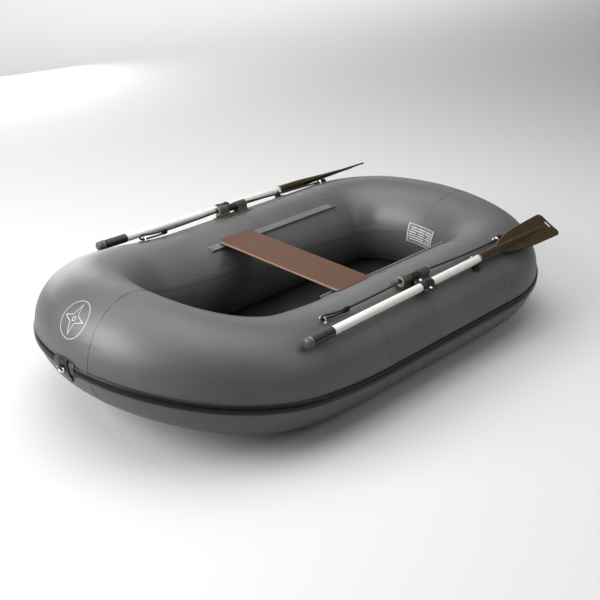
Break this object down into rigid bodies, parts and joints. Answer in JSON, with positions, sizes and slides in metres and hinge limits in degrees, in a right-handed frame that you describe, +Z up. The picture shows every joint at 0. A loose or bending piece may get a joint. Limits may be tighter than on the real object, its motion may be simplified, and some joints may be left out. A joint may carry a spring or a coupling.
{
  "type": "inflatable dinghy",
  "caption": "Grey inflatable rowing boat with a raised bow, black rubbing strake, sliding plywood seat, grab lines and two stowed oars in swivelling rowlocks.",
  "frame": {"origin": "on the ground under the middle of the boat's overall length and width", "axes": "+X forward to the bow, +Y to port, +Z up"},
  "size_m": [2.2379, 1.2838, 0.535],
  "materials": {
    "hull_fabric": "satin coated PVC fabric, dark grey",
    "bulkhead_fabric": "coated fabric",
    "floor_fabric": "coated PVC fabric, nearly black",
    "strake_rubber": "glossy ribbed black PVC",
    "patch_fabric": "grey coated fabric",
    "black_rubber": "matt black rubber",
    "bright_steel": "polished stainless steel",
    "label_film": "dark film with a plain white outline",
    "seat_plywood": "brown film-faced plywood",
    "black_plastic": "black nylon",
    "olive_plastic": "dark olive nylon",
    "axle_plastic": "grey nylon",
    "shaft_paint": "off-white enamel on aluminium tube",
    "grip_rubber": "dark soft grip",
    "grey_plastic": "grey plastic",
    "blade_plastic": "dark olive moulded polyamide",
    "rope_cord": "braided black polypropylene",
    "eye_pad": "black pad with a steel bow",
    "valve_plastic": "grey nylon"
  },
  "bodies": {
    "hull": {"bow_panel": "hull_fabric", "bow_quarter_port": "hull_fabric", "bow_quarter_stbd": "hull_fabric", "bow_corner_port": "hull_fabric", "bow_corner_stbd": "hull_fabric", "fore_tube_port": "hull_fabric", "fore_tube_stbd": "hull_fabric", "aft_tube_port": "hull_fabric", "aft_tube_stbd": "hull_fabric", "stern_corner_port": "hull_fabric", "stern_corner_stbd": "hull_fabric", "stern_panel": "hull_fabric", "bulkhead_port": "bulkhead_fabric", "bulkhead_stbd": "bulkhead_fabric", "floor_skin": "floor_fabric", "strake": "strake_rubber", "strake_joint_patch": "patch_fabric", "tow_pad": "black_rubber", "label_plate": "label_film", "seat_rail_port": "patch_fabric", "seat_rail_stbd": "patch_fabric", "rowlock_base_port": "olive_plastic", "rowlock_base_stbd": "olive_plastic", "rowlock_axle_port": "axle_plastic", "rowlock_axle_stbd": "axle_plastic", "oar_cradle_port": "black_rubber", "oar_cradle_stbd": "black_rubber", "grab_line_port": "rope_cord", "grab_line_stbd": "rope_cord", "eye_fore_port": "eye_pad", "eye_fore_stbd": "eye_pad", "eye_aft_port": "eye_pad", "eye_aft_stbd": "eye_pad", "valve_body_fore": "valve_plastic", "valve_body_aft": "valve_plastic"},
    "port_oar": {"rowlock_hub_port": "black_plastic", "collar_cap_port": "olive_plastic", "collar_bolts_port": "bright_steel", "oar_shaft_port": "shaft_paint", "oar_grip_port": "grip_rubber", "oar_end_cap_port": "grey_plastic", "oar_blade_port": "blade_plastic"},
    "starboard_oar": {"rowlock_hub_stbd": "black_plastic", "collar_cap_stbd": "olive_plastic", "collar_bolts_stbd": "bright_steel", "oar_shaft_stbd": "shaft_paint", "oar_grip_stbd": "grip_rubber", "oar_end_cap_stbd": "grey_plastic", "oar_blade_stbd": "blade_plastic"},
    "seat": {"seat_board": "seat_plywood", "seat_runner_port": "black_plastic", "seat_runner_stbd": "black_plastic", "seat_screws": "bright_steel"},
    "tow_ring": {"tow_ring": "bright_steel"},
    "fore_valve_cap": {"valve_cap_fore": "valve_plastic"},
    "aft_valve_cap": {"valve_cap_aft": "valve_plastic"}
  },
  "joints": [
    {"name": "port_oar_lift", "type": "hinge", "parent": "hull", "child": "port_oar", "pos_m": [-0.084, 0.50292, 0.41807], "axis": [1, 0, 0], "range_deg": [0, 105]},
    {"name": "starboard_oar_lift", "type": "hinge", "parent": "hull", "child": "starboard_oar", "pos_m": [-0.084, -0.50292, 0.41807], "axis": [-1, 0, 0], "range_deg": [0, 105]},
    {"name": "seat_slide", "type": "slide", "parent": "hull", "child": "seat", "axis": [1, 0, 0], "range_m": [-0.48, 0.06]},
    {"name": "tow_ring_swing", "type": "hinge", "parent": "hull", "child": "tow_ring", "pos_m": [1.113, 0, 0.31757], "axis": [0, -1, 0], "range_deg": [0, 140]},
    {"name": "fore_valve_turn", "type": "hinge", "parent": "hull", "child": "fore_valve_cap", "pos_m": [0.02, 0.23804, 0.23473], "axis": [0, -0.9848, 0.1736], "range_deg": [-90, 0]},
    {"name": "aft_valve_turn", "type": "hinge", "parent": "hull", "child": "aft_valve_cap", "pos_m": [-0.23, 0.23804, 0.23473], "axis": [0, -0.9848, 0.1736], "range_deg": [-90, 0]}
  ]
}
